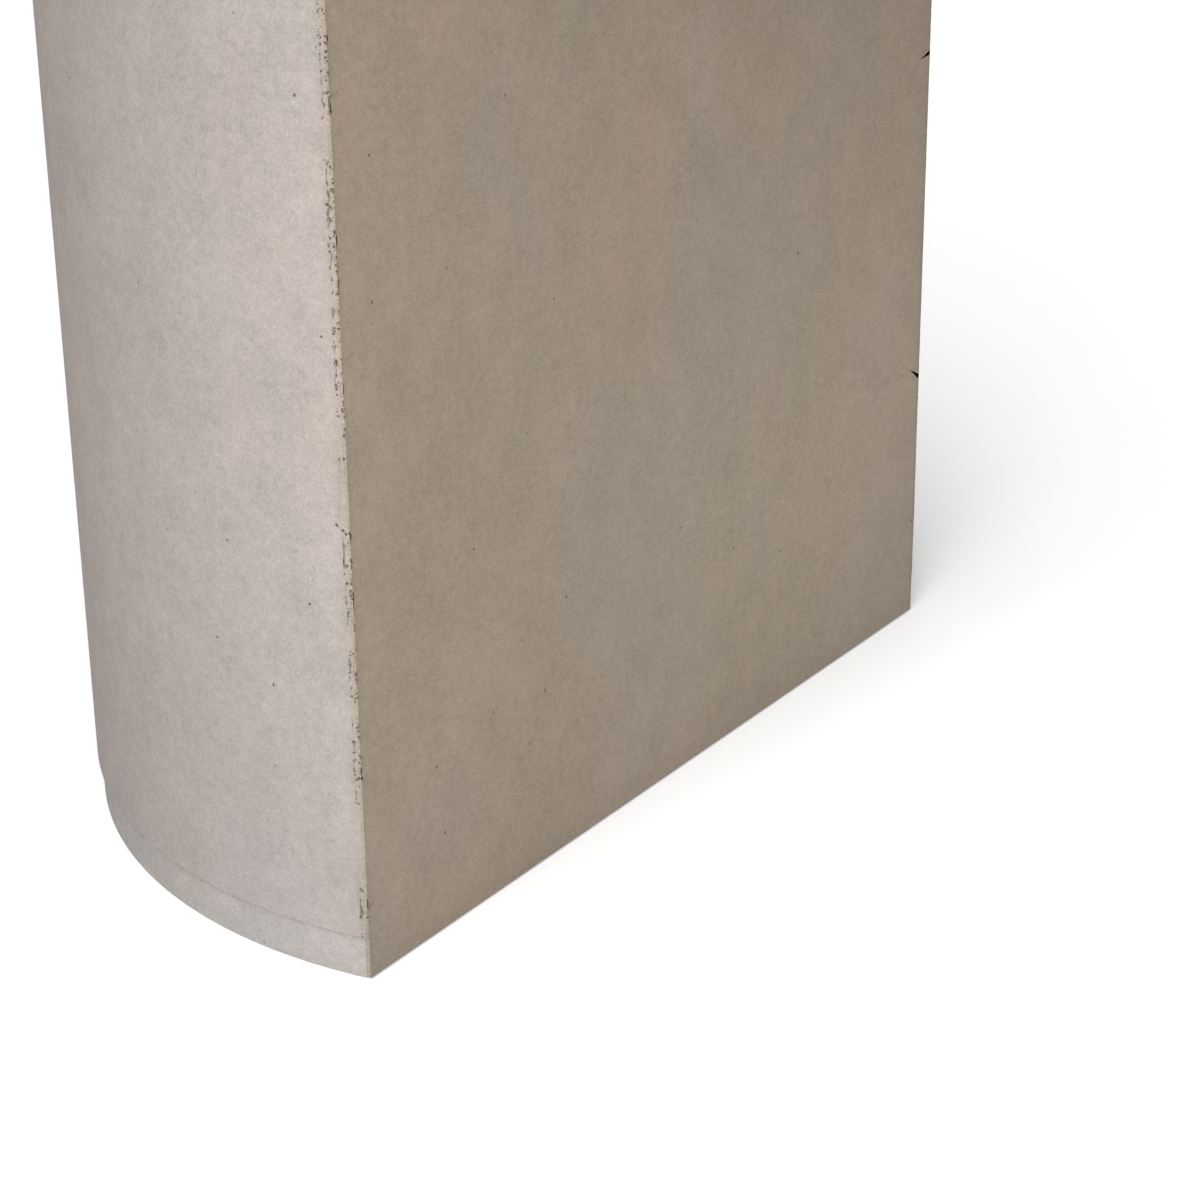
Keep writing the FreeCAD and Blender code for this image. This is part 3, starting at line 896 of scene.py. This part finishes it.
def zinc_plate():
    """Bright zinc with its faint blue and yellow cast."""
    made = Finish("zinc_plate")
    film = made.noise(120.0, 3, 0.6)
    fine = made.noise(1300.0, 2, 0.5)
    colour = made.mix(film.ramp(0.35, 0.65), rgb(0.62, 0.65, 0.70), rgb(0.70, 0.67, 0.58))
    colour = made.scaled(colour, 0.9 + 0.2 * fine)
    roughness = 0.34 + (film - 0.5) * 0.2 + (fine - 0.5) * 0.1
    return made.finished(colour, roughness, fine, 0.03 * MM, metallic=1.0)


def moulded_plastic():
    """Black foot plastic with a fine spark texture and grey scuffs low down."""
    made = Finish("moulded_plastic")
    texture = made.noise(1500.0, 2, 0.6)
    patches = made.noise(60.0, 3, 0.6)
    scuffs = made.axis("Z").ramp(4 * MM, 0.0) * patches.ramp(0.45, 0.65)
    colour = made.mix(patches, rgb(0.022, 0.022, 0.023), rgb(0.036, 0.035, 0.035))
    colour = made.mix(scuffs * 0.5, colour, rgb(0.16, 0.155, 0.15))
    roughness = 0.55 + (texture - 0.5) * 0.2 + scuffs * 0.15
    return made.finished(colour, roughness, texture, 0.06 * MM)


finishes = {
    "frame_steel": black_coat(),
    "socket_steel": turned_steel(),
    "zinc_steel": zinc_plate(),
    "foot_plastic": moulded_plastic(),
    "backing_concrete": backing_concrete,
    "cast_concrete": shell_concrete,
    "toe_concrete": toe_concrete,
}
for name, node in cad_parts.items():
    for place, old in enumerate(node.material_slots):
        slot_name = old.material.name.split(".")[0]
        node.material_slots[place].material = finishes[slot_name]
print("finished", len(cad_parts), "CAD nodes")

# %% [markdown]
# ## Floor, light and camera
# A white floor under a white sky gives the even fill of a studio. One soft key light from the left grazes
# the flat face and throws a short soft shadow to the right, which shows how round the back is. A large card
# and a small low one lift the near side and the foot of the flat face.

# %% Floor
FLOOR_SIDE = 24.0
FLOOR_DARK = 0.80
FLOOR_PALE = 0.815


def floor():
    """A plain pale floor, in an even grid of squares."""
    mesh = bmesh.new()
    bmesh.ops.create_grid(mesh, x_segments=8, y_segments=8, size=FLOOR_SIDE / 2)
    data = bpy.data.meshes.new("studio_floor")
    mesh.to_mesh(data)
    mesh.free()
    made = Finish("studio_floor")
    soft = made.noise(3.0, 2, 0.5)
    colour = made.mix(soft, rgb(*[FLOOR_DARK] * 3), rgb(*[FLOOR_PALE] * 3))
    data.materials.append(made.finished(colour, 0.9, soft, 0.01 * MM, Specular_IOR_Level=0.0))
    plane = bpy.data.objects.new("studio_floor", data)
    bpy.context.scene.collection.objects.link(plane)
    return plane


floor()

# %% Light
SKY = 0.46
HORIZON = 1.0
FADE_LOW = 0.10
FADE_HIGH = 0.30
KEY_POWER = 2.75
KEY_RISE = 60.0
KEY_TURN = 3.0
KEY_SOFTNESS = 60.0

world = bpy.data.worlds.new("studio")
world.use_nodes = True
sky = world.node_tree
sky_light = sky.nodes["Background"]
sky_light.inputs["Color"].default_value = (1, 1, 1, 1)
direction = sky.nodes.new("ShaderNodeTexCoord")
climb = sky.nodes.new("ShaderNodeSeparateXYZ")
fade = sky.nodes.new("ShaderNodeMapRange")
sky.links.new(direction.outputs["Generated"], climb.inputs[0])
sky.links.new(climb.outputs["Z"], fade.inputs["Value"])
fade.inputs["From Min"].default_value = FADE_LOW
fade.inputs["From Max"].default_value = FADE_HIGH
fade.inputs["To Min"].default_value = HORIZON
fade.inputs["To Max"].default_value = SKY
sky.links.new(fade.outputs[0], sky_light.inputs["Strength"])
bpy.context.scene.world = world
bpy.context.scene.view_settings.view_transform = "Standard"

key_data = bpy.data.lights.new("key", "SUN")
key_data.energy = KEY_POWER
key_data.angle = math.radians(KEY_SOFTNESS)
key_data.color = (1.0, 1.0, 1.0)
key = bpy.data.objects.new("key", key_data)
rise, turn = math.radians(KEY_RISE), math.radians(KEY_TURN)
from_light = Vector(
    (-math.cos(rise) * math.cos(turn), math.cos(rise) * math.sin(turn), math.sin(rise))
)
key.rotation_euler = from_light.to_track_quat("Z", "Y").to_euler()
bpy.context.scene.collection.objects.link(key)


def softbox(name, side, power, place, aim):
    """A square light that stands at place and faces aim."""
    data = bpy.data.lights.new(name, "AREA")
    data.shape = "SQUARE"
    data.size = side
    data.energy = power
    box = bpy.data.objects.new(name, data)
    box.location = place
    box.rotation_euler = (place - aim).to_track_quat("Z", "Y").to_euler()
    box.visible_camera = False
    bpy.context.scene.collection.objects.link(box)


CARD_POWER = 24.0
CARD_PLACE = Vector((-1.20, -0.90, 0.55))
CARD_AIM = Vector((-0.28, -0.19, 0.36))
softbox("card", 0.9, CARD_POWER, CARD_PLACE, CARD_AIM)
LOW_POWER = 2.2
LOW_PLACE = Vector((0.20, -0.62, 0.02))
LOW_AIM = Vector((0.16, -0.19, 0.06))
softbox("low_card", 0.4, LOW_POWER, LOW_PLACE, LOW_AIM)

# %% Camera
LENS = 96.372
SENSOR = 36.0
EYE = Vector((-1.47886, -1.21383, 0.97117))
YAW, DIP, ROLL = (math.radians(angle) for angle in (53.907, 25.225, -0.628))

lens = bpy.data.cameras.new("eye")
lens.lens = LENS
lens.sensor_width = SENSOR
lens.clip_end = 100
eye = bpy.data.objects.new("eye", lens)
aim = Matrix.Rotation(-YAW, 4, "Z") @ Matrix.Rotation(math.pi / 2 - DIP, 4, "X")
eye.matrix_world = Matrix.Translation(EYE) @ aim @ Matrix.Rotation(ROLL, 4, "Z")
bpy.context.scene.collection.objects.link(eye)
bpy.context.scene.camera = eye
